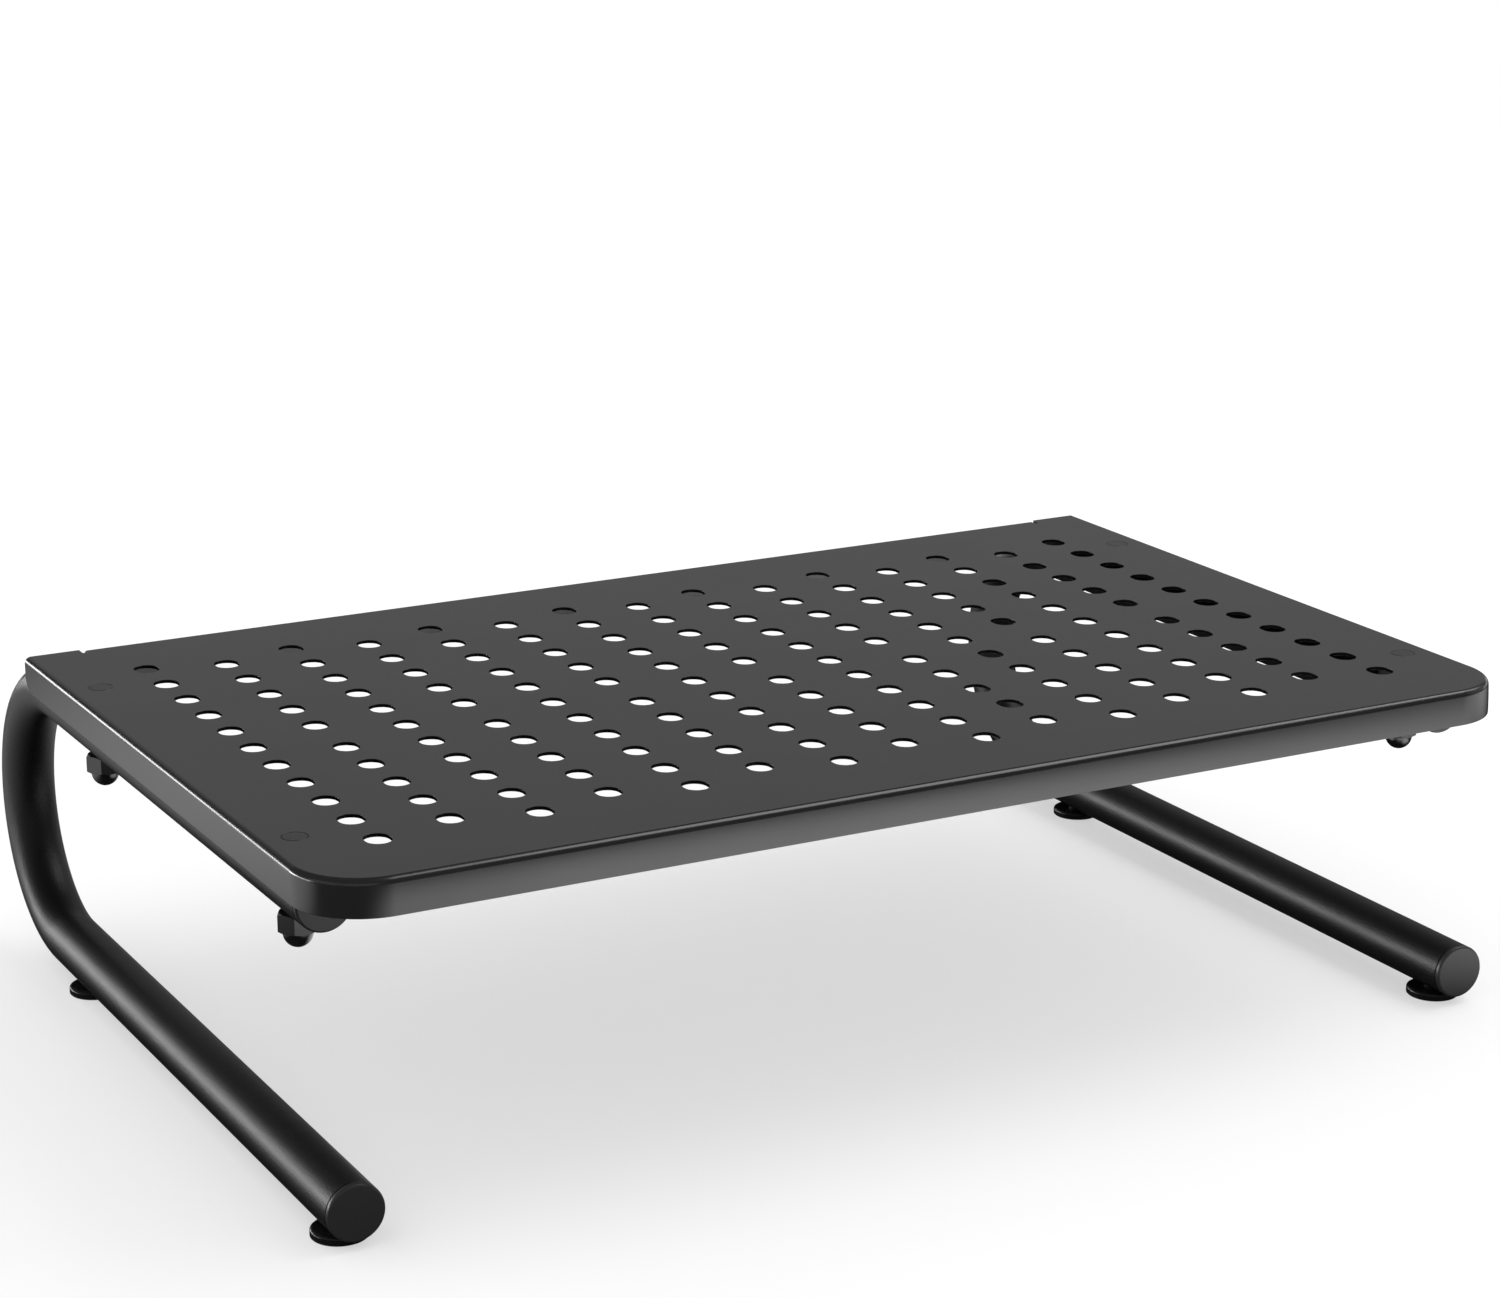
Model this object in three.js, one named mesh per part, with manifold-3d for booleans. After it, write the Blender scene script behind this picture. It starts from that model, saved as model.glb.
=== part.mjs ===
// Monitor riser stand: a perforated deck of folded sheet steel, bolted on two C-shaped tube legs.
// Millimetres: +X runs to the right, +Y to the back and +Z up. The origin is on the desk, under
// the middle of the stand's outline.

import * as THREE from 'three';
import { mergeVertices } from 'three/addons/utils/BufferGeometryUtils.js';
import Module from 'manifold-3d';

const wasm = await Module();
wasm.setup();

// ---- Driving dimensions -------------------------------------------------------------------

const standHeight = 100; // desk to the top of the deck

// Deck: one sheet, folded down round the front and sides, and between the legs at the back.
const deckWidth = 370;
const deckDepth = 231;
const deckSheet = 1;
const foldRadius = 1.9; // outside of each fold
const apronHeight = 10; // top of the deck to the lower edge of the folded apron
const frontCornerRadius = 20;
const reliefSlotWidth = 1.7; // between the back fold and the flat tab that covers a tube
const reliefSlotDepth = 3.6;
const apronEndRadius = 5; // lower back corner of each side apron

// Air holes: full columns alternate with columns that are split into two groups.
const holeWidth = 7;
const holeStretch = 1.4; // how much longer than wide a hole is
const holeColumnPitch = 22.5;
const holeRowPitch = 17.3;
const splitSpacing = 22.5; // between the nearest holes of a split column's two groups
const holeSideMargin = 25; // least distance from the deck's sides to a hole's centre
const holeEndMargin = 27; // the same from its front and back

// Legs: each is one tube, with an arm under the deck, a bend behind it and an arm on the desk.
const tubeDiameter = 15.8;
const tubeWall = 1.2;
const bendSetback = 2.8; // back edge of the deck to the start of the bend
const upperArmSetback = 21.3; // front of the deck to the plugged end of the upper arm
const lowerArmSetback = 6.8; // front of the deck to the plugged end of the lower arm

// Fastenings: a flush-headed stud through the deck, a saddle spacer and a domed nut.
const studInset = 40.5; // front and back of the deck to the studs
const studDiameter = 4.8;
const studHeadDiameter = 6.8;
const studHeadThickness = 0.6;
const studTipChamfer = 0.5;
const studGrip = 6; // length of stud inside the nut
const spacerDiameter = 14;
const spacerThickness = 2.5; // at its thinnest, over the crown of the tube
const spacerSkirt = 2.6; // how far it reaches down the sides of the tube
const nutAcrossFlats = 9.5;
const nutHexHeight = 5.1;
const nutChamferAngle = THREE.MathUtils.degToRad(30);
const nutNeck = 0.45; // between the hexagon and the round of the dome
const nutDomeRadius = 3.95;
const nutBoreSpare = 0.7; // depth of the bore beyond the stud's tip

// Plugs in the open ends of the tubes.
const plugHeadThickness = 1.4;
const plugEdgeRadius = 0.5;
const plugSpigotInset = 1; // bore of the tube to the spigot's own surface
const plugSpigotWall = 1.2;
const plugFins = 2;

// Feet: pressed through a hole in the underside of the lower arm.
const footDiameter = 15.4;
const footThickness = 2.3;
const footEdgeRadius = 0.5;
const footBaseChamfer = 0.25;
const footStemDiameter = 5;
const footBarbDiameter = 7;
const footBarbHeight = 2.6;
const footTipDiameter = 3.6;
const frontFootSetback = 12; // plugged end of the lower arm to the front foot's centre
const backFootSetback = 17.7; // start of the bend to the back foot's centre

// Clearances.
const seatGap = 0.3; // against a round tube
const slipGap = 0.3; // round a piece that passes through another
const headGap = 0.1; // round a stud's flush head
const apronToTubeGap = 0.95;
const backFoldToTubeGap = 0.65;
const plugToFootGap = 0.8; // end of a plug's spigot to the barb of the front foot

// Facets. Counts that go round a full turn are multiples of four.
const tubeSides = 16;
const smallSides = 16;
const nutChamferSides = 24;
const bendSteps = 12;
const cornerSteps = 8;
const foldSteps = 3;
const edgeSteps = 2;
const domeSteps = 4;
const holeEndSteps = 4;

// ---- Derived places -----------------------------------------------------------------------

const tubeRadius = tubeDiameter / 2;
const boreRadius = tubeRadius - tubeWall;
const legX = deckWidth / 2 - deckSheet - apronToTubeGap - tubeRadius;
const deckFront = -deckDepth / 2;
const deckBack = deckDepth / 2;
const deckUnderside = standHeight - deckSheet;
const apronBottom = standHeight - apronHeight;
const backFoldEnd = legX - tubeRadius - backFoldToTubeGap;
const outerColumn = Math.floor((deckWidth / 2 - holeSideMargin) / holeColumnPitch);
const outerRow = Math.floor((deckDepth / 2 - holeEndMargin) / holeRowPitch);

const lowerArmZ = footThickness + seatGap + tubeRadius;
const upperArmZ = deckUnderside - spacerThickness - seatGap - tubeRadius;
const bendRadius = (upperArmZ - lowerArmZ) / 2;
const bendY = deckBack - bendSetback;
const plugFaceToTube = plugHeadThickness + seatGap;
const upperPlugY = deckFront + upperArmSetback;
const lowerPlugY = deckFront + lowerArmSetback;
const plugLength = frontFootSetback - footBarbDiameter / 2 - plugToFootGap;
const standBack = bendY + bendRadius + tubeRadius;

const studYs = { front: deckFront + studInset, back: deckBack - studInset };
const studHoleRadius = studDiameter / 2 + slipGap;
const nutTop = upperArmZ - tubeRadius - seatGap;
const footYs = { front: lowerPlugY + frontFootSetback, back: bendY - backFootSetback };
const footHoleRadius = footStemDiameter / 2 + slipGap;

// ---- Solids -------------------------------------------------------------------------------

const grid = 1e-4; // vertices are snapped to it, which makes flush faces exactly flush
const quarterTurn = Math.PI / 2;

// A closed three.js geometry as a manifold-3d solid.
function solidFrom(geometry) {
  const bare = geometry.clone();
  bare.deleteAttribute('normal');
  bare.deleteAttribute('uv');
  const places = bare.getAttribute('position').array;
  places.forEach((place, i) => {
    places[i] = Math.round(place / grid) * grid;
  });
  const { index, attributes } = mergeVertices(bare, grid);
  const corners = [];
  for (let i = 0; i < index.count; i += 3) {
    const [a, b, c] = index.array.slice(i, i + 3);
    if (a !== b && b !== c && c !== a) corners.push(a, b, c);
  }
  return new wasm.Manifold(new wasm.Mesh({
    numProp: 3,
    vertProperties: attributes.position.array,
    triVerts: Uint32Array.from(corners),
  }));
}

function geometryFrom(solid) {
  const { vertProperties, triVerts } = solid.getMesh();
  const shared = new THREE.BufferGeometry();
  shared.setAttribute('position', new THREE.BufferAttribute(vertProperties, 3));
  shared.setIndex(new THREE.BufferAttribute(triVerts, 1));
  const faceted = shared.toNonIndexed();
  faceted.computeVertexNormals();
  return faceted;
}

function box(x0, x1, y0, y1, z0, z1) {
  const geometry = new THREE.BoxGeometry(x1 - x0, y1 - y0, z1 - z0);
  return solidFrom(geometry.translate((x0 + x1) / 2, (y0 + y1) / 2, (z0 + z1) / 2));
}

// An upright post. Its first corner is towards -Y, or turned from there.
function post(radius, z0, z1, sides = smallSides, turn = 0) {
  const geometry = new THREE.CylinderGeometry(radius, radius, z1 - z0, sides, 1, false, turn);
  return solidFrom(geometry.rotateX(quarterTurn).translate(0, 0, (z0 + z1) / 2));
}

// A prism upright on its outline.
function prism(shape, z0, z1, curveSegments) {
  const options = { depth: z1 - z0, bevelEnabled: false, curveSegments };
  return solidFrom(new THREE.ExtrudeGeometry(shape, options).translate(0, 0, z0));
}

// A prism that lies along X, from x0 to x1, with its outline drawn as (y, z).
function crossPrism(shape, x0, x1, curveSegments) {
  const options = { depth: x1 - x0, bevelEnabled: false, curveSegments };
  const geometry = new THREE.ExtrudeGeometry(shape, options).translate(0, 0, x0);
  const yzx = new THREE.Matrix4().makeBasis(
    new THREE.Vector3(0, 1, 0),
    new THREE.Vector3(0, 0, 1),
    new THREE.Vector3(1, 0, 0),
  );
  return solidFrom(geometry.applyMatrix4(yzx));
}

// A body of revolution about Y, from [radius, height] points.
function lathe(points, sides) {
  return new THREE.LatheGeometry(points.map(([r, h]) => new THREE.Vector2(r, h)), sides);
}

// The same, standing upright.
function turned(points, sides) {
  return solidFrom(lathe(points, sides).rotateX(quarterTurn));
}

// The points of a quarter round, from one angle to the next, without its first point.
function arcPoints(centreR, centreH, radius, fromAngle, toAngle, steps) {
  return Array.from({ length: steps }, (_, i) => {
    const angle = THREE.MathUtils.lerp(fromAngle, toAngle, (i + 1) / steps);
    return [centreR + radius * Math.cos(angle), centreH + radius * Math.sin(angle)];
  });
}

// ---- Deck ---------------------------------------------------------------------------------

const trimAllowance = 10; // length beyond the back edge that is cut off again

// A block with the deck's plan and a rounded upper edge. It goes on behind and below the deck,
// and openTray trims that off.
function deckBlock(inset, allowance) {
  const side = deckWidth / 2 - inset;
  const front = deckFront + inset;
  const cornerRadius = frontCornerRadius - inset;
  const edgeRadius = foldRadius - inset;
  const plan = new THREE.Shape();
  plan.moveTo(side, deckBack + allowance);
  plan.lineTo(-side, deckBack + allowance);
  plan.lineTo(-side, front + cornerRadius);
  for (const sign of [-1, 1]) {
    const startAngle = (5 + sign) / 2 * quarterTurn;
    plan.absarc(
      sign * (side - cornerRadius), front + cornerRadius, cornerRadius,
      startAngle, startAngle + quarterTurn,
    );
  }
  const geometry = new THREE.ExtrudeGeometry(plan, {
    depth: apronHeight,
    curveSegments: cornerSteps / 2,
    bevelThickness: edgeRadius,
    bevelSize: edgeRadius,
    bevelOffset: -edgeRadius,
    bevelSegments: foldSteps,
  });
  return solidFrom(geometry.translate(0, 0, standHeight - inset - edgeRadius - apronHeight));
}

// The sheet that is folded down along the back edge, with a lap of flat sheet ahead of it.
function backFold() {
  const foldY = deckBack - foldRadius;
  const foldZ = standHeight - foldRadius;
  const section = new THREE.Shape();
  section.moveTo(foldY - reliefSlotDepth / 2, standHeight);
  section.lineTo(foldY - reliefSlotDepth / 2, deckUnderside);
  section.lineTo(foldY, deckUnderside);
  section.absarc(foldY, foldZ, foldRadius - deckSheet, quarterTurn, 0, true);
  section.lineTo(deckBack - deckSheet, apronBottom);
  section.lineTo(deckBack, apronBottom);
  section.absarc(foldY, foldZ, foldRadius, 0, quarterTurn);
  return crossPrism(section, -backFoldEnd, backFoldEnd, foldSteps / 2);
}

// What is cut away to round the lower back corner of both side aprons.
function apronEndCut() {
  const corner = new THREE.Shape();
  corner.moveTo(deckBack + trimAllowance, apronBottom - trimAllowance);
  corner.lineTo(deckBack + trimAllowance, apronBottom + apronEndRadius);
  corner.lineTo(deckBack, apronBottom + apronEndRadius);
  corner.absarc(deckBack - apronEndRadius, apronBottom + apronEndRadius, apronEndRadius,
    0, -quarterTurn, true);
  corner.lineTo(deckBack - apronEndRadius, apronBottom - trimAllowance);
  return crossPrism(corner, -deckWidth, deckWidth, foldSteps);
}

// A slot with round ends.
function airHole() {
  const radius = holeWidth / 2;
  const slot = new THREE.Shape();
  slot.absarc(0, holeStretch / 2, radius, 0, Math.PI);
  slot.absarc(0, -holeStretch / 2, radius, Math.PI, 2 * Math.PI);
  return prism(slot, deckUnderside - deckSheet, standHeight + deckSheet, holeEndSteps / 2);
}

// The air holes, counted out from the middle of the deck. The outermost columns are full ones.
function airHoles() {
  const hole = airHole();
  const holes = [];
  for (let column = -outerColumn; column <= outerColumn; column++) {
    const x = column * holeColumnPitch;
    if ((outerColumn - column) % 2 === 0) {
      for (let row = -outerRow; row <= outerRow; row++) {
        holes.push(hole.translate(x, row * holeRowPitch, 0));
      }
    } else {
      for (let y = splitSpacing / 2; y <= outerRow * holeRowPitch; y += holeRowPitch) {
        holes.push(hole.translate(x, y, 0), hole.translate(x, -y, 0));
      }
    }
  }
  return holes;
}

// A stepped hole that takes a stud's head flush with the deck.
function studHole() {
  const recessRadius = studHeadDiameter / 2 + headGap;
  const recess = post(recessRadius, standHeight - studHeadThickness, standHeight + deckSheet);
  return post(studHoleRadius, deckUnderside - deckSheet, standHeight + deckSheet).add(recess);
}

function reliefSlot() {
  return box(
    0, reliefSlotWidth,
    deckBack - reliefSlotDepth, deckBack + trimAllowance,
    0, standHeight + deckSheet,
  );
}

// The tray with its front and side aprons, open at the back.
function openTray() {
  const farBack = deckBack + 3 * trimAllowance;
  const above = standHeight + deckSheet;
  return deckBlock(0, trimAllowance)
    .subtract(deckBlock(deckSheet, 2 * trimAllowance))
    .subtract(box(-deckWidth, deckWidth, -deckDepth, farBack, -standHeight, apronBottom))
    .subtract(box(-deckWidth, deckWidth, deckBack, farBack, 0, above))
    .subtract(box(-backFoldEnd, backFoldEnd, deckBack - foldRadius, farBack, 0, above))
    .subtract(apronEndCut());
}

function deckGeometry() {
  const cuts = [
    reliefSlot().translate(backFoldEnd, 0, 0),
    reliefSlot().translate(-backFoldEnd - reliefSlotWidth, 0, 0),
    ...airHoles(),
  ];
  for (const y of Object.values(studYs)) {
    cuts.push(studHole().translate(-legX, y, 0), studHole().translate(legX, y, 0));
  }
  return geometryFrom(cuts.reduce((deck, cut) => deck.subtract(cut), openTray().add(backFold())));
}

// ---- Legs ---------------------------------------------------------------------------------

// A leg's centreline: back along the upper arm, round the bend, and forward along the lower
// arm. Each straight arm is one step, and the bend has the rest.
class LegCurve extends THREE.Curve {
  bendAngle(u) {
    return (u * (bendSteps + 2) - 1) / bendSteps * Math.PI;
  }

  getPointAt(u, target = new THREE.Vector3()) {
    const angle = this.bendAngle(u);
    if (angle < 0) return target.set(0, upperPlugY + plugFaceToTube, upperArmZ);
    if (angle > Math.PI) return target.set(0, lowerPlugY + plugFaceToTube, lowerArmZ);
    return target.set(
      0,
      bendY + bendRadius * Math.sin(angle),
      lowerArmZ + bendRadius * (1 + Math.cos(angle)),
    );
  }

  getTangentAt(u, target = new THREE.Vector3()) {
    const angle = THREE.MathUtils.clamp(this.bendAngle(u), 0, Math.PI);
    return target.set(0, Math.cos(angle), -Math.sin(angle));
  }
}

function legGeometry() {
  const section = new THREE.Shape().absarc(0, 0, tubeRadius, 0, 2 * Math.PI);
  section.holes.push(new THREE.Path().absarc(0, 0, boreRadius, 0, 2 * Math.PI));
  const tube = solidFrom(new THREE.ExtrudeGeometry(section, {
    steps: bendSteps + 2,
    curveSegments: tubeSides / 2,
    extrudePath: new LegCurve(),
  }));
  const studBore = post(studHoleRadius, nutTop, deckUnderside);
  const footBore = post(footHoleRadius, 0, lowerArmZ);
  const bores = [
    ...Object.values(studYs).map((y) => studBore.translate(0, y, 0)),
    ...Object.values(footYs).map((y) => footBore.translate(0, y, 0)),
  ];
  return geometryFrom(bores.reduce((leg, bore) => leg.subtract(bore), tube));
}

// A plug, made with its face in the plane y = 0 and its spigot towards +Y.
function plugGeometry() {
  const spigotRadius = boreRadius - plugSpigotInset;
  const finRadius = boreRadius - slipGap;
  const finPitch = (plugLength - plugFaceToTube) / (plugFins + 1);
  const fins = [];
  for (let fin = 0; fin < plugFins; fin++) {
    const y = plugFaceToTube + (fin + 0.5) * finPitch;
    fins.push([spigotRadius, y], [finRadius, y]);
  }
  const edgeCentre = tubeRadius - plugEdgeRadius;
  return geometryFrom(solidFrom(lathe([
    [0, 0],
    [edgeCentre, 0],
    ...arcPoints(edgeCentre, plugEdgeRadius, plugEdgeRadius, -quarterTurn, 0, edgeSteps),
    [tubeRadius, plugHeadThickness],
    [spigotRadius, plugHeadThickness],
    ...fins,
    [spigotRadius, plugLength - finPitch / 2],
    [spigotRadius, plugLength],
    [spigotRadius - plugSpigotWall, plugLength],
    [spigotRadius - plugSpigotWall, plugHeadThickness],
    [0, plugHeadThickness],
  ], tubeSides)));
}

// ---- Fastenings ---------------------------------------------------------------------------

function studGeometry() {
  const tip = nutTop - studGrip;
  const radius = studDiameter / 2;
  const underHead = standHeight - studHeadThickness;
  return geometryFrom(turned([
    [0, tip],
    [radius - studTipChamfer, tip],
    [radius, tip + studTipChamfer],
    [radius, underHead],
    [studHeadDiameter / 2, underHead],
    [studHeadDiameter / 2, standHeight],
    [0, standHeight],
  ], smallSides));
}

// A round washer whose underside is a saddle for the tube.
function spacerGeometry() {
  const skirtBottom = deckUnderside - spacerThickness - spacerSkirt;
  const saddleRadius = tubeRadius + seatGap;
  const saddle = solidFrom(
    new THREE.CylinderGeometry(saddleRadius, saddleRadius, 2 * spacerDiameter, tubeSides)
      .translate(0, 0, upperArmZ),
  );
  const spacer = post(spacerDiameter / 2, skirtBottom, deckUnderside)
    .subtract(saddle)
    .subtract(post(studHoleRadius, skirtBottom, standHeight));
  return geometryFrom(spacer);
}

function nutGeometry() {
  const hexBottom = nutTop - nutHexHeight;
  const domeCentre = hexBottom - nutNeck;
  const cornerRadius = nutAcrossFlats / 2 / Math.cos(Math.PI / 6);
  const chamferRadius = nutAcrossFlats / 2;
  const chamferRise = (cornerRadius - chamferRadius) * Math.tan(nutChamferAngle);
  const hexagon = post(cornerRadius, hexBottom, nutTop, 6, quarterTurn);
  const chamfered = turned([
    [0, hexBottom],
    [chamferRadius, hexBottom],
    [cornerRadius, hexBottom + chamferRise],
    [cornerRadius, nutTop - chamferRise],
    [chamferRadius, nutTop],
    [0, nutTop],
  ], nutChamferSides);
  const dome = turned([
    [0, domeCentre - nutDomeRadius],
    ...arcPoints(0, domeCentre, nutDomeRadius, -quarterTurn, 0, domeSteps),
    [nutDomeRadius, hexBottom + chamferRise],
    [0, hexBottom + chamferRise],
  ], smallSides);
  const bore = post(studHoleRadius, nutTop - studGrip - nutBoreSpare, standHeight);
  return geometryFrom(hexagon.intersect(chamfered).add(dome).subtract(bore));
}

// ---- Feet ---------------------------------------------------------------------------------

function footGeometry() {
  const radius = footDiameter / 2;
  const barbRadius = footBarbDiameter / 2;
  const facetRadius = boreRadius * Math.cos(Math.PI / tubeSides);
  const barbSeat = lowerArmZ - Math.sqrt(facetRadius ** 2 - barbRadius ** 2) + slipGap;
  return geometryFrom(turned([
    [0, 0],
    [radius - footBaseChamfer, 0],
    [radius, footBaseChamfer],
    [radius, footThickness - footEdgeRadius],
    ...arcPoints(radius - footEdgeRadius, footThickness - footEdgeRadius, footEdgeRadius,
      0, quarterTurn, edgeSteps),
    [footStemDiameter / 2, footThickness],
    [footStemDiameter / 2, barbSeat],
    [barbRadius, barbSeat],
    [footTipDiameter / 2, barbSeat + footBarbHeight],
    [0, barbSeat + footBarbHeight],
  ], smallSides));
}

// ---- Assembly -----------------------------------------------------------------------------

const finish = {
  deck: { color: 0x282829, roughness: 0.55, metalness: 0.2 },
  tube: { color: 0x1d1d1e, roughness: 0.4, metalness: 0.3 },
  coatedSteel: { color: 0x282829, roughness: 0.45, metalness: 0.6 },
  blackNut: { color: 0x0e0e0f, roughness: 0.2, metalness: 0.5 },
  plastic: { color: 0x19191a, roughness: 0.5, metalness: 0 },
  rubber: { color: 0x101010, roughness: 0.35, metalness: 0 },
};

function piece(name, geometry, look, y = 0, z = 0) {
  const mesh = new THREE.Mesh(geometry, new THREE.MeshStandardMaterial(look));
  mesh.name = name;
  mesh.position.set(0, y, z);
  return mesh;
}

const leg = legGeometry();
const plug = plugGeometry();
const stud = studGeometry();
const spacer = spacerGeometry();
const nut = nutGeometry();
const foot = footGeometry();

// A leg with all that is fastened to it, in the plane x = 0.
function legAssembly(side) {
  const assembly = new THREE.Group();
  assembly.add(
    piece(`leg_${side}`, leg, finish.tube),
    piece(`end_plug_upper_${side}`, plug, finish.plastic, upperPlugY, upperArmZ),
    piece(`end_plug_lower_${side}`, plug, finish.plastic, lowerPlugY, lowerArmZ),
  );
  for (const [end, y] of Object.entries(studYs)) {
    assembly.add(
      piece(`stud_${end}_${side}`, stud, finish.coatedSteel, y),
      piece(`spacer_${end}_${side}`, spacer, finish.plastic, y),
      piece(`cap_nut_${end}_${side}`, nut, finish.blackNut, y),
    );
  }
  for (const [end, y] of Object.entries(footYs)) {
    assembly.add(piece(`foot_${end}_${side}`, foot, finish.rubber, y));
  }
  return assembly;
}

const stand = new THREE.Group();
const left = legAssembly('left');
const right = legAssembly('right');
left.position.x = -legX;
right.position.x = legX;
stand.add(piece('deck', deckGeometry(), finish.deck), left, right);
stand.position.y = -(deckFront + standBack) / 2;

export default stand;
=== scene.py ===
"""Monitor riser stand: a perforated, powder-coated steel deck bolted on two bent tube legs.

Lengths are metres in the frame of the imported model: +X to the right, +Y to the back, +Z up.
"""
import math

import bmesh
import bpy
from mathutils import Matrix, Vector
from mathutils.geometry import delaunay_2d_cdt


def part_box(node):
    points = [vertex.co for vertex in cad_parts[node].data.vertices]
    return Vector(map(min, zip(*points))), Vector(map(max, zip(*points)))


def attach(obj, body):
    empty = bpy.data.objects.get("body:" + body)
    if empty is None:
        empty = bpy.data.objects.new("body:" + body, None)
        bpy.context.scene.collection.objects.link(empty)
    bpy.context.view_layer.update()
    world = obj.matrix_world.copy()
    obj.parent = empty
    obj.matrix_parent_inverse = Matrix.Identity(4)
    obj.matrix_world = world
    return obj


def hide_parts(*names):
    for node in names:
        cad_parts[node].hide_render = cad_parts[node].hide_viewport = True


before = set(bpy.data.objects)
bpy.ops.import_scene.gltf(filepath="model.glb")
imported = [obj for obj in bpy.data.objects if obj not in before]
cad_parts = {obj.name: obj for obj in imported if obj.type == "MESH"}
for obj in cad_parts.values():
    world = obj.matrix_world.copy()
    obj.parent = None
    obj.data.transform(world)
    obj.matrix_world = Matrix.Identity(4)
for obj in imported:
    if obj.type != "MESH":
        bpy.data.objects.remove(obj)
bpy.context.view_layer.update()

MM = 0.001
TURN = 2 * math.pi
QUARTER = math.pi / 2
SIDES = ("left", "right")
ENDS = ("front", "back")
ARMS = ("upper", "lower")

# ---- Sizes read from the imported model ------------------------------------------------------

deck_low, deck_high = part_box("deck")
deck_top = deck_high.z
deck_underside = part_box("spacer_front_left")[1].z
sheet = deck_top - deck_underside
deck_middle = Vector(((deck_low.x + deck_high.x) / 2, (deck_low.y + deck_high.y) / 2, deck_top))

leg_low, leg_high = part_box("leg_right")
tube_radius = (leg_high.x - leg_low.x) / 2
leg_x = leg_low.x + tube_radius
lower_arm_z = leg_low.z + tube_radius
upper_arm_z = leg_high.z - tube_radius
bend_radius = (upper_arm_z - lower_arm_z) / 2
bend_y = leg_high.y - tube_radius - bend_radius
arm_z = {"upper": upper_arm_z, "lower": lower_arm_z}
plug_face_y = {arm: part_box(f"end_plug_{arm}_right")[0].y for arm in ARMS}
plug_face_to_tube = leg_low.y - plug_face_y["lower"]
plug_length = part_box("end_plug_lower_right")[1].y - plug_face_y["lower"]


def middle_y(node):
    low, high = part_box(node)
    return (low.y + high.y) / 2


stud_y = {end: middle_y(f"stud_{end}_right") for end in ENDS}
foot_y = {end: middle_y(f"foot_{end}_right") for end in ENDS}
foot_low, foot_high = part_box("foot_front_right")
foot_radius = (foot_high.x - foot_low.x) / 2
spacer_low, spacer_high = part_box("spacer_front_right")
spacer_radius = (spacer_high.x - spacer_low.x) / 2
nut_low, nut_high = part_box("cap_nut_front_right")
nut_flat_radius = (nut_high.y - nut_low.y) / 2
stud_low, stud_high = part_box("stud_front_right")
stud_head_radius = (stud_high.x - stud_low.x) / 2

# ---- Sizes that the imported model's boxes don't show -----------------------------------------

fold_radius = 1.9 * MM
front_corner_radius = 20 * MM
apron_end_radius = 5 * MM
relief_slot_width = 1.7 * MM
relief_slot_depth = 3.6 * MM
back_fold_to_tube = 0.65 * MM

hole_width = 7 * MM
hole_stretch = 1.4 * MM
hole_column_pitch = 22.5 * MM
hole_row_pitch = 17.3 * MM
split_spacing = 22.5 * MM
outer_column = 7
outer_row = 5

tube_wall = 1.2 * MM
tube_end_chamfer = 0.25 * MM
seat_gap = 0.3 * MM
slip_gap = 0.3 * MM
head_gap = 0.1 * MM

stud_radius = 2.4 * MM
stud_head_thickness = 0.6 * MM
nut_hex_height = 5.1 * MM
nut_neck = 0.45 * MM
nut_dome_radius = 3.95 * MM
nut_bore_spare = 0.7 * MM
nut_chamfer_slope = math.tan(math.radians(30))

plug_head_thickness = 1.4 * MM
plug_edge_radius = 0.7 * MM
plug_spigot_inset = 1.0 * MM
plug_spigot_wall = 1.2 * MM
plug_fins = 2

foot_thickness = 2.3 * MM
foot_edge_radius = 0.7 * MM
foot_stem_radius = 2.5 * MM
foot_barb_radius = 3.5 * MM
foot_barb_height = 2.6 * MM
foot_tip_radius = 1.8 * MM

cut_edge_round = 0.08 * MM  # where the coat runs over a cut edge of the sheet


# ---- Camera, lights and stage ---------------------------------------------------------------

light_aim_height = 60 * MM


def place_camera():
    data = bpy.data.cameras.new("camera")
    data.sensor_width = 36
    data.lens = 85.82
    camera = bpy.data.objects.new("camera", data)
    camera.location = deck_middle + Vector((-0.4811, -0.8773, 0.2915))
    camera.rotation_euler = (math.radians(74.09), 0, math.radians(-28.53))
    bpy.context.collection.objects.link(camera)
    bpy.context.scene.camera = camera


def soft_box(name, azimuth, elevation, width, height, level, distance=1.5):
    """A soft box that faces the stand, at angles in degrees. Level 1 looks white to the stand."""
    a, e = math.radians(azimuth), math.radians(elevation)
    away = Vector((math.cos(a) * math.cos(e), math.sin(a) * math.cos(e), math.sin(e)))
    data = bpy.data.lights.new(name, "AREA")
    data.shape = "RECTANGLE"
    data.size = width
    data.size_y = height
    data.energy = math.pi * width * height * level
    box = bpy.data.objects.new(name, data)
    box.location = Vector((0, deck_middle.y, light_aim_height)) + away * distance
    box.rotation_euler = away.to_track_quat("Z", "Y").to_euler()
    box.visible_camera = False
    bpy.context.collection.objects.link(box)


def light_the_stand():
    soft_box("back_left_strip", 111, 2.4, 1.3, 0.5, 9, distance=4)
    soft_box("far_left_strip", 134, 2.4, 1.5, 0.5, 14.5, distance=4)
    soft_box("near_left_strip", 159, 2.4, 1.8, 0.5, 6, distance=4)
    soft_box("high_right_box", 345, 60, 1.0, 0.75, 2.1)
    soft_box("wide_back_box", 65, 18, 2.2, 0.8, 0.22)
    soft_box("low_right_strip", 20, 4, 2.4, 0.7, 0.9, distance=4)
    soft_box("small_right_box", 5, 40, 1.0, 1.0, 1.5, distance=3)
    for name, azimuth in (("right_box", 350), ("front_box", 240), ("left_box", 190)):
        soft_box(name, azimuth, 18, 1.2, 0.7, 0.22)


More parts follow.
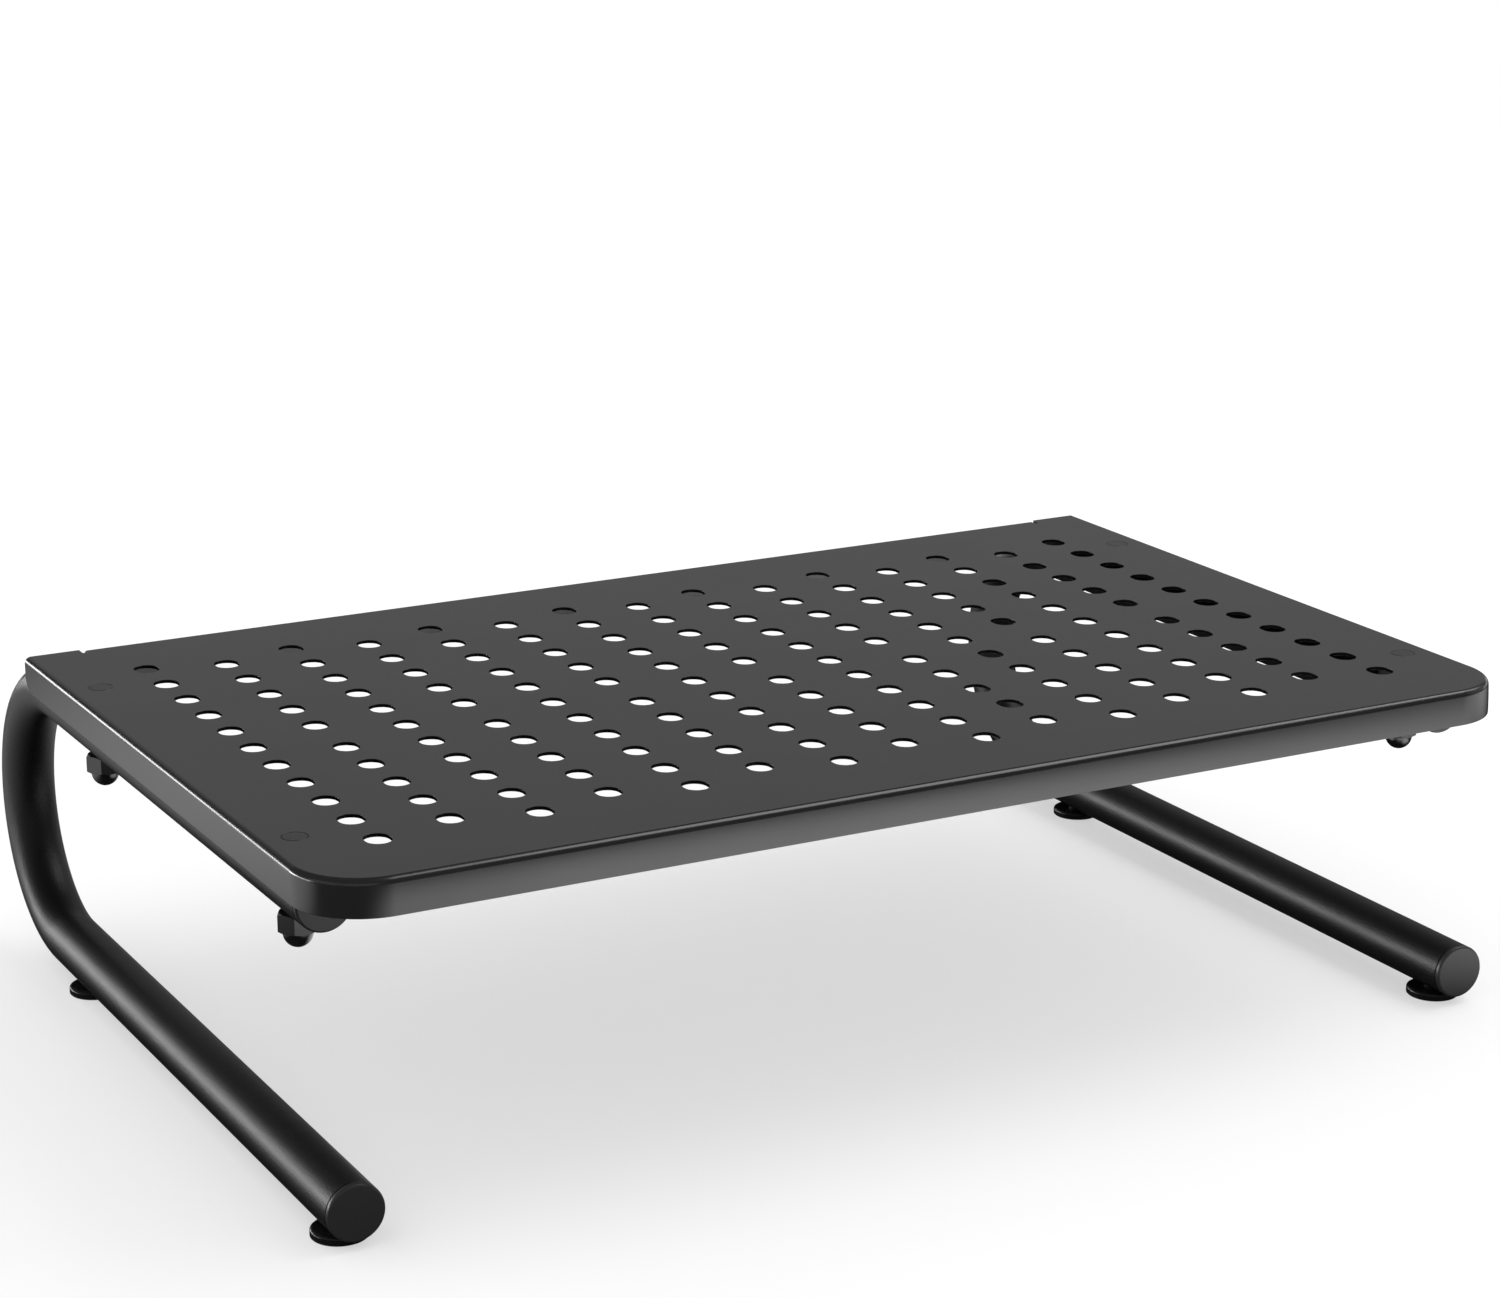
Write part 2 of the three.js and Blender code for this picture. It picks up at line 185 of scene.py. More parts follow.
def new_material(name):
    material = bpy.data.materials.new(name)
    material.use_nodes = True
    material.node_tree.nodes.clear()
    return material, material.node_tree.nodes, material.node_tree.links


def math_node(nodes, links, operation, *values):
    node = nodes.new("ShaderNodeMath")
    node.operation = operation
    for socket, value in zip(node.inputs, values):
        if isinstance(value, bpy.types.NodeSocket):
            links.new(value, socket)
        else:
            socket.default_value = value
    return node.outputs[0]


def light_the_room():
    """A white room to the camera, and an even soft light that shines less in reflections."""
    room_light = 0.89
    room_reflected = 0.05
    world = bpy.data.worlds.new("room")
    world.use_nodes = True
    bpy.context.scene.world = world
    nodes, links = world.node_tree.nodes, world.node_tree.links
    nodes.clear()
    background = nodes.new("ShaderNodeBackground")
    background.inputs["Color"].default_value = (1, 1, 1, 1)
    path = nodes.new("ShaderNodeLightPath")
    output = nodes.new("ShaderNodeOutputWorld")
    level = math_node(nodes, links, "MULTIPLY_ADD", path.outputs["Is Glossy Ray"],
                      room_reflected - room_light, room_light)
    level = math_node(nodes, links, "MULTIPLY_ADD", path.outputs["Is Camera Ray"],
                      1 - room_light, level)
    links.new(level, background.inputs["Strength"])
    links.new(background.outputs["Background"], output.inputs["Surface"])


def light_pool(nodes, links, middle, half_size, even_share, level):
    """An oval pool on the floor, even in its middle and gone at its edge; it sets the floor's
    tone or paints a pool of light.
    """
    place = nodes.new("ShaderNodeTexCoord")
    offset = nodes.new("ShaderNodeVectorMath")
    offset.operation = "SUBTRACT"
    offset.inputs[1].default_value = (*middle, 0)
    shares = nodes.new("ShaderNodeVectorMath")
    shares.operation = "DIVIDE"
    shares.inputs[1].default_value = (*half_size, 1)
    away = nodes.new("ShaderNodeVectorMath")
    away.operation = "LENGTH"
    pool = nodes.new("ShaderNodeMapRange")
    pool.interpolation_type = "SMOOTHSTEP"
    pool.inputs["From Min"].default_value = 1
    pool.inputs["From Max"].default_value = even_share
    pool.inputs["To Min"].default_value = 0
    pool.inputs["To Max"].default_value = level
    links.new(place.outputs["Object"], offset.inputs[0])
    links.new(offset.outputs["Vector"], shares.inputs[0])
    links.new(shares.outputs["Vector"], away.inputs[0])
    links.new(away.outputs["Value"], pool.inputs["Value"])
    return pool.outputs["Result"]


def lay_the_floor():
    """A pale floor that keeps the stand's shadow, fades into white and is clear from below.

    Reflections show it dark, with soft pools of painted light: there it glows, though it is no
    lamp.
    """
    floor_tone = 0.5
    floor_reach = 2.5
    fade_start = 0.4  # share of the floor's reach where it starts to fade into white
    between_pools = 0.02
    material, nodes, links = new_material("pale_floor")
    diffuse = nodes.new("ShaderNodeBsdfDiffuse")
    tone = light_pool(nodes, links, (0, 0), (floor_reach, floor_reach), fade_start, floor_tone)
    links.new(tone, diffuse.inputs["Color"])
    seen_glow = nodes.new("ShaderNodeEmission")
    # The floor's glow as reflections see it: painted light.
    reflected = nodes.new("ShaderNodeEmission")
    path = nodes.new("ShaderNodeLightPath")
    missing = math_node(nodes, links, "SUBTRACT", 1.0, tone)
    lift = math_node(nodes, links, "MULTIPLY", path.outputs["Is Camera Ray"], missing)
    links.new(lift, seen_glow.inputs["Strength"])
    seen = nodes.new("ShaderNodeAddShader")
    links.new(diffuse.outputs[0], seen.inputs[0])
    links.new(seen_glow.outputs[0], seen.inputs[1])

    # Painted light: pools that glow on the floor, seen only in reflections, over a faint glow
    # between them.
    far_left = light_pool(nodes, links, (-0.7, 1.0), (0.5, 0.5), 0.5, 1.6)
    left = light_pool(nodes, links, (-0.55, 0.23), (0.4, 0.38), 0.6, 0.75)
    under = light_pool(nodes, links, (-0.03, -0.06), (0.12, 0.14), 0.4, 1.4)
    behind = light_pool(nodes, links, (-0.04, 0.18), (0.13, 0.16), 0.4, 0.5)
    front = light_pool(nodes, links, (0.13, -0.4), (0.42, 0.28), 0.29, 1.8)
    front_right = light_pool(nodes, links, (0.25, -0.2), (0.1, 0.1), 0.4, 1.5)
    right = light_pool(nodes, links, (0.75, -0.35), (0.5, 0.5), 0.4, 1.2)
    level = between_pools
    for pool in (far_left, left, under, behind, front, front_right, right):
        level = math_node(nodes, links, "ADD", pool, level)
    links.new(level, reflected.inputs["Strength"])

    from_above = nodes.new("ShaderNodeMixShader")
    links.new(path.outputs["Is Glossy Ray"], from_above.inputs["Fac"])
    links.new(seen.outputs[0], from_above.inputs[1])
    links.new(reflected.outputs[0], from_above.inputs[2])
    geometry = nodes.new("ShaderNodeNewGeometry")
    clear = nodes.new("ShaderNodeBsdfTransparent")
    surface = nodes.new("ShaderNodeMixShader")
    output = nodes.new("ShaderNodeOutputMaterial")
    links.new(geometry.outputs["Backfacing"], surface.inputs["Fac"])
    links.new(from_above.outputs[0], surface.inputs[1])
    links.new(clear.outputs[0], surface.inputs[2])
    links.new(surface.outputs[0], output.inputs["Surface"])
    reach = floor_reach
    corners = [(-reach, -reach, 0), (reach, -reach, 0), (reach, reach, 0), (-reach, reach, 0)]
    mesh = bpy.data.meshes.new("floor")
    mesh.from_pydata(corners, [], [(0, 1, 2, 3)])
    mesh.materials.append(material)
    floor = bpy.data.objects.new("floor", mesh)
    bpy.context.collection.objects.link(floor)


bpy.context.scene.view_settings.view_transform = "Standard"
place_camera()
light_the_stand()
light_the_room()
lay_the_floor()


# ---- Materials ------------------------------------------------------------------------------

def new_group(name, inputs, outputs):
    """An empty shader node group with named sockets, given as (name, kind, value)."""
    group = bpy.data.node_groups.new(name, "ShaderNodeTree")
    for socket_name, kind, value in inputs:
        socket = group.interface.new_socket(socket_name, in_out="INPUT", socket_type=kind)
        socket.default_value = value
    for socket_name, kind in outputs:
        group.interface.new_socket(socket_name, in_out="OUTPUT", socket_type=kind)
    entry = group.nodes.new("NodeGroupInput")
    result = group.nodes.new("NodeGroupOutput")
    return group, group.nodes, group.links, entry.outputs, result.inputs


FLOAT = "NodeSocketFloat"
COLOR = "NodeSocketColor"


def noise_at(nodes, links, scale, detail=2.0):
    """A noise in the object's own place, so that it stays with the piece."""
    place = nodes.new("ShaderNodeTexCoord")
    noise = nodes.new("ShaderNodeTexNoise")
    noise.inputs["Detail"].default_value = detail
    links.new(place.outputs["Object"], noise.inputs["Vector"])
    links.new(scale, noise.inputs["Scale"])
    return noise.outputs["Fac"]


def coat_grain_group():
    """The height of a coat that was sprayed and has flowed: fine grain on a slow ripple."""
    group, nodes, links, given, made = new_group(
        "coat grain",
        [("Grain Scale", FLOAT, 2500.0), ("Ripple Scale", FLOAT, 300.0),
         ("Ripple Share", FLOAT, 0.5)],
        [("Height", FLOAT)],
    )
    grain = noise_at(nodes, links, given["Grain Scale"], detail=1.0)
    ripple = noise_at(nodes, links, given["Ripple Scale"], detail=1.0)
    ripple_part = math_node(nodes, links, "MULTIPLY", ripple, given["Ripple Share"])
    height = math_node(nodes, links, "ADD", grain, ripple_part)
    links.new(height, made["Height"])
    return group


def tone_drift_group():
    """A colour and a roughness that wander a little over the surface."""
    group, nodes, links, given, made = new_group(
        "tone drift",
        [("Color", COLOR, (0.02, 0.02, 0.02, 1)), ("Drift", FLOAT, 0.1),
         ("Roughness", FLOAT, 0.4), ("Roughness Drift", FLOAT, 0.05), ("Scale", FLOAT, 30.0)],
        [("Color", COLOR), ("Roughness", FLOAT)],
    )
    noise = noise_at(nodes, links, given["Scale"], detail=4.0)
    swing = math_node(nodes, links, "MULTIPLY_ADD", noise, 2.0, -1.0)
    gain = math_node(nodes, links, "MULTIPLY_ADD", swing, given["Drift"], 1.0)
    tint = nodes.new("ShaderNodeVectorMath")
    tint.operation = "SCALE"
    links.new(given["Color"], tint.inputs[0])
    links.new(gain, tint.inputs["Scale"])
    links.new(tint.outputs["Vector"], made["Color"])
    rough = math_node(nodes, links, "MULTIPLY_ADD", swing, given["Roughness Drift"],
                      given["Roughness"])
    links.new(rough, made["Roughness"])
    return group


coat_grain = coat_grain_group()
tone_drift = tone_drift_group()
glance_start = 0.6  # 0 where a surface faces the eye, and 1 where it is seen edge on
glance_end = 0.9


def place_group(nodes, group, **values):
    node = nodes.new("ShaderNodeGroup")
    node.node_tree = group
    for name, value in values.items():
        node.inputs[name.replace("_", " ")].default_value = value
    return node


def coated(name, color, roughness, specular, grain_depth, drift=0.08, roughness_drift=0.04,
           grain_scale=2500.0, ripple_scale=300.0, ripple_share=0.5, glancing_roughness=1.0):
    """A finish whose colour and roughness drift, over a grained surface.

    A rough coat looks smoother along the surface: its roughness falls to the given share.
    """
    material, nodes, links = new_material(name)
    surface = nodes.new("ShaderNodeBsdfPrincipled")
    surface.inputs["Specular IOR Level"].default_value = specular
    tone = place_group(nodes, tone_drift, Color=(*color, 1), Drift=drift,
                       Roughness=roughness, Roughness_Drift=roughness_drift)
    grain = place_group(nodes, coat_grain, Grain_Scale=grain_scale,
                        Ripple_Scale=ripple_scale, Ripple_Share=ripple_share)
    bump = nodes.new("ShaderNodeBump")
    bump.inputs["Distance"].default_value = grain_depth
    output = nodes.new("ShaderNodeOutputMaterial")
    links.new(tone.outputs["Color"], surface.inputs["Base Color"])
    slant = nodes.new("ShaderNodeLayerWeight")
    slant.inputs["Blend"].default_value = 0.5  # a straight fall, with the cosine of the angle
    share = nodes.new("ShaderNodeMapRange")
    share.interpolation_type = "SMOOTHSTEP"
    share.inputs["From Min"].default_value = glance_start
    share.inputs["From Max"].default_value = glance_end
    share.inputs["To Min"].default_value = 1
    share.inputs["To Max"].default_value = glancing_roughness
    links.new(slant.outputs["Facing"], share.inputs["Value"])
    roughness = math_node(nodes, links, "MULTIPLY", tone.outputs["Roughness"],
                          share.outputs["Result"])
    links.new(roughness, surface.inputs["Roughness"])
    links.new(grain.outputs["Height"], bump.inputs["Height"])
    links.new(bump.outputs["Normal"], surface.inputs["Normal"])
    links.new(surface.outputs["BSDF"], output.inputs["Surface"])
    return material


deck_coat = coated("deck powder coat", (0.014, 0.014, 0.0145), 0.22, 1.0, 0.007 * MM,
                   ripple_share=0.25)
stud_coat = coated("stud coat", (0.010, 0.010, 0.0105), 0.25, 0.9, 0.012 * MM)
# The hole walls are near-black and barely glossy: painted shade inside the holes.
hole_wall_painted_shade = coated("painted shade in the holes", (0.002, 0.002, 0.002), 0.5, 0.05, 0.012 * MM)
leg_paint = coated("leg powder coat", (0.003, 0.003, 0.003), 0.43, 0.55, 0.07 * MM,
                   grain_scale=1800.0, glancing_roughness=0.85)
nut_black = coated("nut black", (0.006, 0.006, 0.006), 0.12, 1.0, 0.004 * MM)
plug_plastic = coated("plug plastic", (0.022, 0.022, 0.022), 0.4, 0.8, 0.02 * MM)
spacer_plastic = coated("spacer plastic", (0.01, 0.01, 0.01), 0.5, 0.5, 0.02 * MM)
foot_rubber = coated("foot rubber", (0.006, 0.006, 0.006), 0.25, 0.6, 0.01 * MM)


# ---- Mesh building --------------------------------------------------------------------------

def quads_between(bm, ring_a, ring_b, closed=True):
    """Fills between two rows of vertices. A row of one vertex is a pole."""
    faces = []
    steps = max(len(ring_a), len(ring_b))
    for i in range(steps if closed else steps - 1):
        j = (i + 1) % steps
        corners = [
            ring_a[i % len(ring_a)], ring_a[j % len(ring_a)],
            ring_b[j % len(ring_b)], ring_b[i % len(ring_b)],
        ]
        distinct = list(dict.fromkeys(corners))
        if len(distinct) > 2:
            faces.append(bm.faces.new(distinct))
    return faces


def rings_to_mesh(bm, rings, closed=True):
    """Skins a list of rows of points and returns the rows of vertices."""
    rows = [[bm.verts.new(p) for p in ring] for ring in rings]
    for row_a, row_b in zip(rows, rows[1:]):
        quads_between(bm, row_a, row_b, closed)
    return rows


weld_distance = 0.0005 * MM
round_steps = 64
bore_steps = 48
edge_steps = 6


def circle_angles(steps):
    return [TURN * i / steps for i in range(steps)]


def arc(centre_r, centre_h, radius, start, end, steps):
    """Points of an arc in (radius, height), both ends included."""
    angles = [start + (end - start) * i / steps for i in range(steps + 1)]
    return [(centre_r + radius * math.cos(a), centre_h + radius * math.sin(a)) for a in angles]


def turned(profile, place, steps=round_steps, along_y=False):
    """A body of revolution from (radius, height) points, about Z or Y through a place."""
    bm = bmesh.new()
    rings = []
    for radius, height in profile:
        angles = circle_angles(steps) if radius > 0 else [0]
        ring = []
        for a in angles:
            across, over = radius * math.cos(a), radius * math.sin(a)
            point = (across, height, over) if along_y else (across, over, height)
            ring.append(place + Vector(point))
        rings.append(ring)
    rings_to_mesh(bm, rings)
    return bm


def finish_piece(name, bm, material, node, sharp_angle=35, flat_lead=50):
    """Makes a piece of a mesh that stands for a CAD node, and gives it its finish."""
    bmesh.ops.remove_doubles(bm, verts=bm.verts, dist=weld_distance)
    bmesh.ops.recalc_face_normals(bm, faces=bm.faces)
    mesh = bpy.data.meshes.new(name)
    bm.to_mesh(mesh)
    bm.free()
    mesh.shade_smooth()
    mesh.set_sharp_from_angle(angle=math.radians(sharp_angle))
    mesh.materials.append(material)
    piece = bpy.data.objects.new(name, mesh)
    bpy.context.collection.objects.link(piece)
    flat_faces_lead = piece.modifiers.new("flat_faces_lead", "WEIGHTED_NORMAL")
    flat_faces_lead.keep_sharp = True
    flat_faces_lead.weight = flat_lead
    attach(piece, "root")
    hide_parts(node)
    return piece


# ---- Deck -----------------------------------------------------------------------------------

side_x = deck_high.x
front_y, back_y = deck_low.y, deck_high.y
apron_bottom = deck_low.z
back_fold_end = leg_x - tube_radius - back_fold_to_tube
fold_steps = 10
bow_steps = 5
spring_back = math.radians(5)
corner_steps = 20
hole_steps = 32


def side_stations(sign):
    """Stations along a side apron, from its rounded back corner to the front corner.

    A station is a point on the outline, the direction inwards, and the apron's lower edge.
    """
    inwards = Vector((-sign, 0))
    stations = []
    for i in range(fold_steps + 1):
        a = QUARTER * i / fold_steps
        y = back_y - apron_end_radius * (1 - math.cos(a))
        bottom = apron_bottom + apron_end_radius * (1 - math.sin(a))
        stations.append((Vector((sign * side_x, y)), inwards, bottom))
    return stations


def corner_stations(sign):
    """Stations round a front corner, from the side to the front."""
    centre = Vector((sign * (side_x - front_corner_radius), front_y + front_corner_radius))
    stations = []
    for i in range(corner_steps + 1):
        a = QUARTER * i / corner_steps
        outwards = Vector((sign * math.cos(a), -math.sin(a)))
        stations.append((centre + outwards * front_corner_radius, -outwards, apron_bottom))
    return stations


def fold_section(bm, station):
    """Pairs of outer and inner vertices, from the flat of the deck to the apron's lower edge.

    A fold across the front springs back a little, so the apron there bows in to its top.
    """
    point, inwards, bottom = station
    spring = spring_back * max(0, inwards.y)
    straight = deck_top - bottom - fold_radius * (1 - math.sin(spring))
    sections = []
    for i in range(fold_steps + 1):
        tilt = QUARTER - (QUARTER - spring) * i / fold_steps
        sections.append((1, tilt))
    for i in range(1, bow_steps + 1):
        share = 1 - i / bow_steps
        sections.append((share, spring * share))
    pairs = []
    for share, tilt in sections:
        bow = spring * straight / 2 * share ** 2
        across = fold_radius * (math.cos(spring) - math.cos(tilt)) if share == 1 else 0
        height = straight * share
        height += fold_radius * (math.sin(tilt) - math.sin(spring)) if share == 1 else 0
        pair = []
        for depth in (0, sheet):
            plan = point + inwards * (bow + across + depth * math.cos(tilt))
            pair.append(bm.verts.new((*plan, bottom + height - depth * math.sin(tilt))))
        pairs.append(pair)
    return pairs


def fold_skin(bm, stations):
    """Skins an apron along its stations, and returns its first pair at each of them."""
    sections = [fold_section(bm, station) for station in stations]
    for here, there in zip(sections, sections[1:]):
        for skin in (0, 1):
            quads_between(bm, [p[skin] for p in here], [p[skin] for p in there], closed=False)
        bm.faces.new([here[-1][0], here[-1][1], there[-1][1], there[-1][0]])
    for end in (sections[0], sections[-1]):
        quads_between(bm, [p[0] for p in end], [p[1] for p in end], closed=False)
    return [section[0] for section in sections]


def sheet_pair(bm, x, y):
    return [bm.verts.new((x, y, deck_top)), bm.verts.new((x, y, deck_underside))]


def tab_pairs(bm, sign):
    """The cut edge of a back tab and its relief slot, from the side to the back fold."""
    slot_x = sign * (back_fold_end + relief_slot_width)
    slot_y = back_y - relief_slot_depth
    return [
        sheet_pair(bm, slot_x, back_y),
        sheet_pair(bm, slot_x, slot_y),
        sheet_pair(bm, sign * back_fold_end, slot_y),
    ]


def hole_outline(x, y):
    radius = hole_width / 2
    half = hole_steps // 2
    points = []
    for sign in (1, -1):
        for i in range(half + 1):
            a = math.pi * i / half + (0 if sign > 0 else math.pi)
            points.append((x + radius * math.cos(a),
                           y + sign * hole_stretch / 2 + radius * math.sin(a)))
    return points


def hole_places():
    """Air holes, counted out from the middle of the deck; the outermost columns are full."""
    places = []
    for column in range(-outer_column, outer_column + 1):
        x = deck_middle.x + column * hole_column_pitch
        if (outer_column - column) % 2 == 0:
            offsets = [row * hole_row_pitch for row in range(-outer_row, outer_row + 1)]
        else:
            half = [split_spacing / 2 + row * hole_row_pitch for row in range(outer_row)]
            offsets = half + [-y for y in half]
        places += [(x, deck_middle.y + y) for y in offsets]
    return places


def circle_outline(x, y, radius):
    angles = circle_angles(bore_steps)
    return [(x + radius * math.cos(a), y + radius * math.sin(a)) for a in angles]


def ring_at(bm, outline, z):
    return [bm.verts.new((x, y, z)) for x, y in outline]


def fill_flat(bm, outline, holes):
    """Fills a flat face inside an outline and round its holes, all of them counterclockwise."""
    loops = [outline, *holes]
    verts = [v for loop in loops for v in loop]
    faces = []
    for loop in loops:
        start = sum(len(face) for face in faces)
        faces.append(list(range(start, start + len(loop))))
    triangles_inside = 1
    touching = 1e-9
    made = delaunay_2d_cdt([v.co.xy for v in verts], [], faces, triangles_inside, touching, True)
    triangles, made_from, lies_in = made[2], made[3], made[5]
    for triangle, owners in zip(triangles, lies_in):
        if list(owners) == [0]:
            bm.faces.new([verts[made_from[i][0]] for i in triangle])


def deck_mesh():
    bm = bmesh.new()
    left = [*side_stations(-1), *corner_stations(-1)]
    right = [*side_stations(1), *corner_stations(1)]
    apron = fold_skin(bm, left + right[::-1])
    back = [(Vector((x, back_y)), Vector((0, -1)), apron_bottom)
            for x in (back_fold_end, -back_fold_end)]
    back_fold = fold_skin(bm, back)
    right_tab, left_tab = tab_pairs(bm, 1), tab_pairs(bm, -1)
    rim = apron + right_tab + back_fold + left_tab[::-1]
    right_edge = [apron[-1], *right_tab, back_fold[0]]
    left_edge = [back_fold[1], *left_tab[::-1], apron[0]]
    for edge in (right_edge, left_edge):
        quads_between(bm, [p[0] for p in edge], [p[1] for p in edge], closed=False)

    top_holes, under_holes = [], []
    for x, y in hole_places():
        outline = hole_outline(x, y)
        rings = [ring_at(bm, outline, z) for z in (deck_top, deck_underside)]
        # The hole walls take the deck's second material, which paints shade into them.
        for face in quads_between(bm, *rings):
            face.material_index = 1
        top_holes.append(rings[0])
        under_holes.append(rings[1])
    step_z = deck_top - stud_head_thickness
    wide, narrow = stud_head_radius + head_gap, stud_radius + slip_gap
    for sign in (-1, 1):
        for y in stud_y.values():
            rings = [
                ring_at(bm, circle_outline(sign * leg_x, y, radius), z)
                for radius, z in ((wide, deck_top), (wide, step_z), (narrow, step_z),
                                  (narrow, deck_underside))
            ]
            for ring_a, ring_b in zip(rings, rings[1:]):
                quads_between(bm, ring_a, ring_b)
            top_holes.append(rings[0])
            under_holes.append(rings[-1])
    fill_flat(bm, [pair[0] for pair in rim], top_holes)
    fill_flat(bm, [pair[1] for pair in rim], under_holes)
    bmesh.ops.recalc_face_normals(bm, faces=bm.faces)
    return bm


def round_cut_edges(bm):
    """Rounds the sharp edges, as the coat does."""
    cut_angle = math.radians(50)
    sharp = [e for e in bm.edges if e.is_manifold and e.calc_face_angle() > cut_angle]
    bmesh.ops.bevel(bm, geom=sharp, offset=cut_edge_round, offset_type="OFFSET", segments=2,
                    profile=0.5, affect="EDGES", clamp_overlap=False, loop_slide=False)
    return bm


deck_sheet = finish_piece("deck_sheet", round_cut_edges(deck_mesh()), deck_coat,
                          "deck", sharp_angle=80, flat_lead=100)
deck_sheet.data.materials.append(hole_wall_painted_shade)


# ---- Legs -----------------------------------------------------------------------------------

bend_steps = 48
bore_margin = 5 * MM  # keeps what a bore does to the mesh close to the bore


def leg_stations():
    """Centres of the tube's sections, with the direction of each section's own upright."""
    stations = []
    upper_start = plug_face_y["upper"] + plug_face_to_tube
    lower_start = plug_face_y["lower"] + plug_face_to_tube
    up = Vector((0, 0, 1))
    upper = [upper_start, upper_start + tube_end_chamfer]
    for end in ENDS:
        upper += [stud_y[end] - bore_margin, stud_y[end] + bore_margin]
    stations += [(Vector((0, y, upper_arm_z)), up) for y in upper]
    bend_centre = Vector((0, bend_y, lower_arm_z + bend_radius))
    for i in range(bend_steps + 1):
        a = math.pi * i / bend_steps
        outwards = Vector((0, math.sin(a), math.cos(a)))
        stations.append((bend_centre + outwards * bend_radius, outwards))
    lower = []
    for end in ENDS[::-1]:
        lower += [foot_y[end] + bore_margin, foot_y[end] - bore_margin]
    lower += [lower_start + tube_end_chamfer, lower_start]
    stations += [(Vector((0, y, lower_arm_z)), -up) for y in lower]
    return stations


def tube_ring(station, radius, x):
    centre, upright = station
    sideways = Vector((1, 0, 0))
    return [
        centre + Vector((x, 0, 0)) + radius * (sideways * math.cos(a) + upright * math.sin(a))
        for a in circle_angles(round_steps)
    ]


def plain_leg_mesh(x):
    bm = bmesh.new()
    stations = leg_stations()
    bore = tube_radius - tube_wall
    rings = [tube_ring(stations[0], tube_radius - tube_end_chamfer, x)]
    rings += [tube_ring(s, tube_radius, x) for s in stations[1:-1]]
    rings.append(tube_ring(stations[-1], tube_radius - tube_end_chamfer, x))
    rings += [tube_ring(s, bore, x) for s in stations[::-1]]
    rows = rings_to_mesh(bm, rings)
    quads_between(bm, rows[-1], rows[0])
    return bm


def drill_mesh(x):
    """The rods of metal that drilling takes out: studs go right through, feet only below."""
    bm = bmesh.new()
    spare = 1 * MM
    for end in ENDS:
        through = [upper_arm_z - tube_radius - spare, upper_arm_z + tube_radius + spare]
        below = [lower_arm_z - tube_radius - spare, lower_arm_z]
        for y, radius, (low, high) in ((stud_y[end], stud_radius + slip_gap, through),
                                       (foot_y[end], foot_stem_radius + slip_gap, below)):
            profile = [(0, low), (radius, low), (radius, high), (0, high)]
            rod = turned(profile, Vector((x, y, 0)), steps=bore_steps)
            rod_mesh = bpy.data.meshes.new("rod")
            rod.to_mesh(rod_mesh)
            rod.free()
            bm.from_mesh(rod_mesh)
            bpy.data.meshes.remove(rod_mesh)
    bmesh.ops.recalc_face_normals(bm, faces=bm.faces)
    return bm


def leg_mesh(x):
    """The bent tube, drilled for its studs and feet."""
    holders = []
    for bm in (plain_leg_mesh(x), drill_mesh(x)):
        bmesh.ops.recalc_face_normals(bm, faces=bm.faces)
        mesh = bpy.data.meshes.new("drilling")
        bm.to_mesh(mesh)
        bm.free()
        holder = bpy.data.objects.new("drilling", mesh)
        bpy.context.collection.objects.link(holder)
        holders.append(holder)
    tube, rods = holders
    drilled = tube.modifiers.new("drilled", "BOOLEAN")
    drilled.operation = "DIFFERENCE"
    drilled.solver = "EXACT"
    drilled.object = rods
    made = bmesh.new()
    made.from_object(tube, bpy.context.evaluated_depsgraph_get())
    for holder in holders:
        mesh = holder.data
        bpy.data.objects.remove(holder)
        bpy.data.meshes.remove(mesh)
    return made


for side, sign in zip(SIDES, (-1, 1)):
    finish_piece(f"leg_tube_{side}", leg_mesh(sign * leg_x), leg_paint,
                 f"leg_{side}")


# ---- Fastenings -----------------------------------------------------------------------------

nut_steps = 72
dome_steps = 14
rim_steps = 4


def nut_mesh(x, y):
    """A domed nut: a chamfered hexagon, a neck and a round dome, with a blind bore from above."""
    bm = bmesh.new()
    place = Vector((x, y, 0))
    hex_bottom = nut_high.z - nut_hex_height
    dome_centre = hex_bottom - nut_neck
    bore_radius = stud_radius + slip_gap
    bore_end = stud_low.z - nut_bore_spare

    def hex_radius(a):
        return nut_flat_radius / math.cos(a % (TURN / 6) - TURN / 12)

    def ring(radius, z):
        return [place + Vector((radius * math.cos(a), radius * math.sin(a), z))
                for a in circle_angles(nut_steps)]

    def hex_ring(z, slope):
        points = []
        for a in circle_angles(nut_steps):
            radius = hex_radius(a)
            rise = slope * (radius - nut_flat_radius)
            points.append(place + Vector((radius * math.cos(a), radius * math.sin(a), z + rise)))
        return points

    rings = [
        [place + Vector((0, 0, bore_end))],
        ring(bore_radius, bore_end),
        ring(bore_radius, nut_high.z),
        ring(nut_flat_radius, nut_high.z),
        hex_ring(nut_high.z, -nut_chamfer_slope),
        hex_ring(hex_bottom, nut_chamfer_slope),
        ring(nut_flat_radius, hex_bottom),
    ]
    dome = arc(0, dome_centre, nut_dome_radius, 0, -QUARTER, dome_steps)
    rings += [ring(r, h) for r, h in [(nut_dome_radius, hex_bottom), *dome[:-1]]]
    rings.append([place + Vector((0, 0, dome_centre - nut_dome_radius))])
    rings_to_mesh(bm, rings)
    return bm


def stud_profile():
    tip_chamfer = 0.5 * MM
    rim = 0.2 * MM
    under_head = deck_top - stud_head_thickness
    return [
        (0, stud_low.z),
        (stud_radius - tip_chamfer, stud_low.z),
        (stud_radius, stud_low.z + tip_chamfer),
        (stud_radius, under_head),
        (stud_head_radius, under_head),
        *arc(stud_head_radius - rim, deck_top - rim, rim, 0, QUARTER, rim_steps),
        (0, deck_top),
    ]


